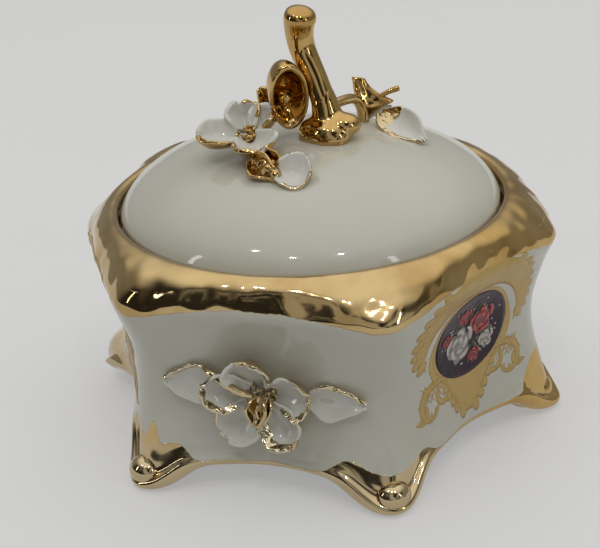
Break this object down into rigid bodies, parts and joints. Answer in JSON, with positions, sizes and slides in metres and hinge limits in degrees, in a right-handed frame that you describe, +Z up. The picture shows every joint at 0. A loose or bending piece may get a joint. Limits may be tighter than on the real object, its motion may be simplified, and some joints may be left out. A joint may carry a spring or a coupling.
{
  "type": "trinket box",
  "caption": "Six-cornered footed porcelain trinket box with a gilded rim and feet, applied flowers and a round domed lid that lifts off by a gilded twig handle.",
  "frame": {"origin": "middle of the base, on the table", "axes": "+Z up, -Y out of the front flower face, +X through a corner on the right"},
  "size_m": [0.1564, 0.1376, 0.1237],
  "materials": {
    "porcelain": "glossy ivory glaze",
    "petal_porcelain": "glossy white glaze with gilded edges",
    "gilding": "bright gold lustre over glaze"
  },
  "bodies": {
    "box": {"box_body": "porcelain", "foot_1": "gilding", "foot_2": "gilding", "foot_3": "gilding", "foot_4": "gilding", "foot_5": "gilding", "foot_6": "gilding", "front_petal_1": "petal_porcelain", "front_petal_2": "petal_porcelain", "front_petal_3": "petal_porcelain", "front_petal_4": "petal_porcelain", "front_petal_5": "petal_porcelain", "front_stamens": "gilding", "front_leaf_left": "petal_porcelain", "front_leaf_right": "petal_porcelain", "rear_right_petal_1": "petal_porcelain", "rear_right_petal_2": "petal_porcelain", "rear_right_petal_3": "petal_porcelain", "rear_right_petal_4": "petal_porcelain", "rear_right_petal_5": "petal_porcelain", "rear_right_stamens": "gilding", "rear_right_leaf_left": "petal_porcelain", "rear_right_leaf_right": "petal_porcelain", "rear_left_petal_1": "petal_porcelain", "rear_left_petal_2": "petal_porcelain", "rear_left_petal_3": "petal_porcelain", "rear_left_petal_4": "petal_porcelain", "rear_left_petal_5": "petal_porcelain", "rear_left_stamens": "gilding", "rear_left_leaf_left": "petal_porcelain", "rear_left_leaf_right": "petal_porcelain"},
    "lid": {"lid_dome": "porcelain", "handle_base": "gilding", "handle_stem": "gilding", "handle_trumpet": "gilding", "handle_lobe": "gilding", "lid_petal_1": "petal_porcelain", "lid_petal_2": "petal_porcelain", "lid_petal_3": "petal_porcelain", "lid_petal_4": "petal_porcelain", "lid_stamens": "gilding", "lid_calyx": "gilding", "lid_leaf_front": "petal_porcelain", "lid_twig": "gilding", "lid_bud": "gilding", "lid_tendril": "gilding", "lid_leaf_small": "petal_porcelain", "lid_leaf_right": "petal_porcelain"}
  },
  "joints": [
    {"name": "lid_lift", "type": "slide", "parent": "box", "child": "lid", "axis": [0, 0, 1], "range_m": [0, 0.12]}
  ]
}
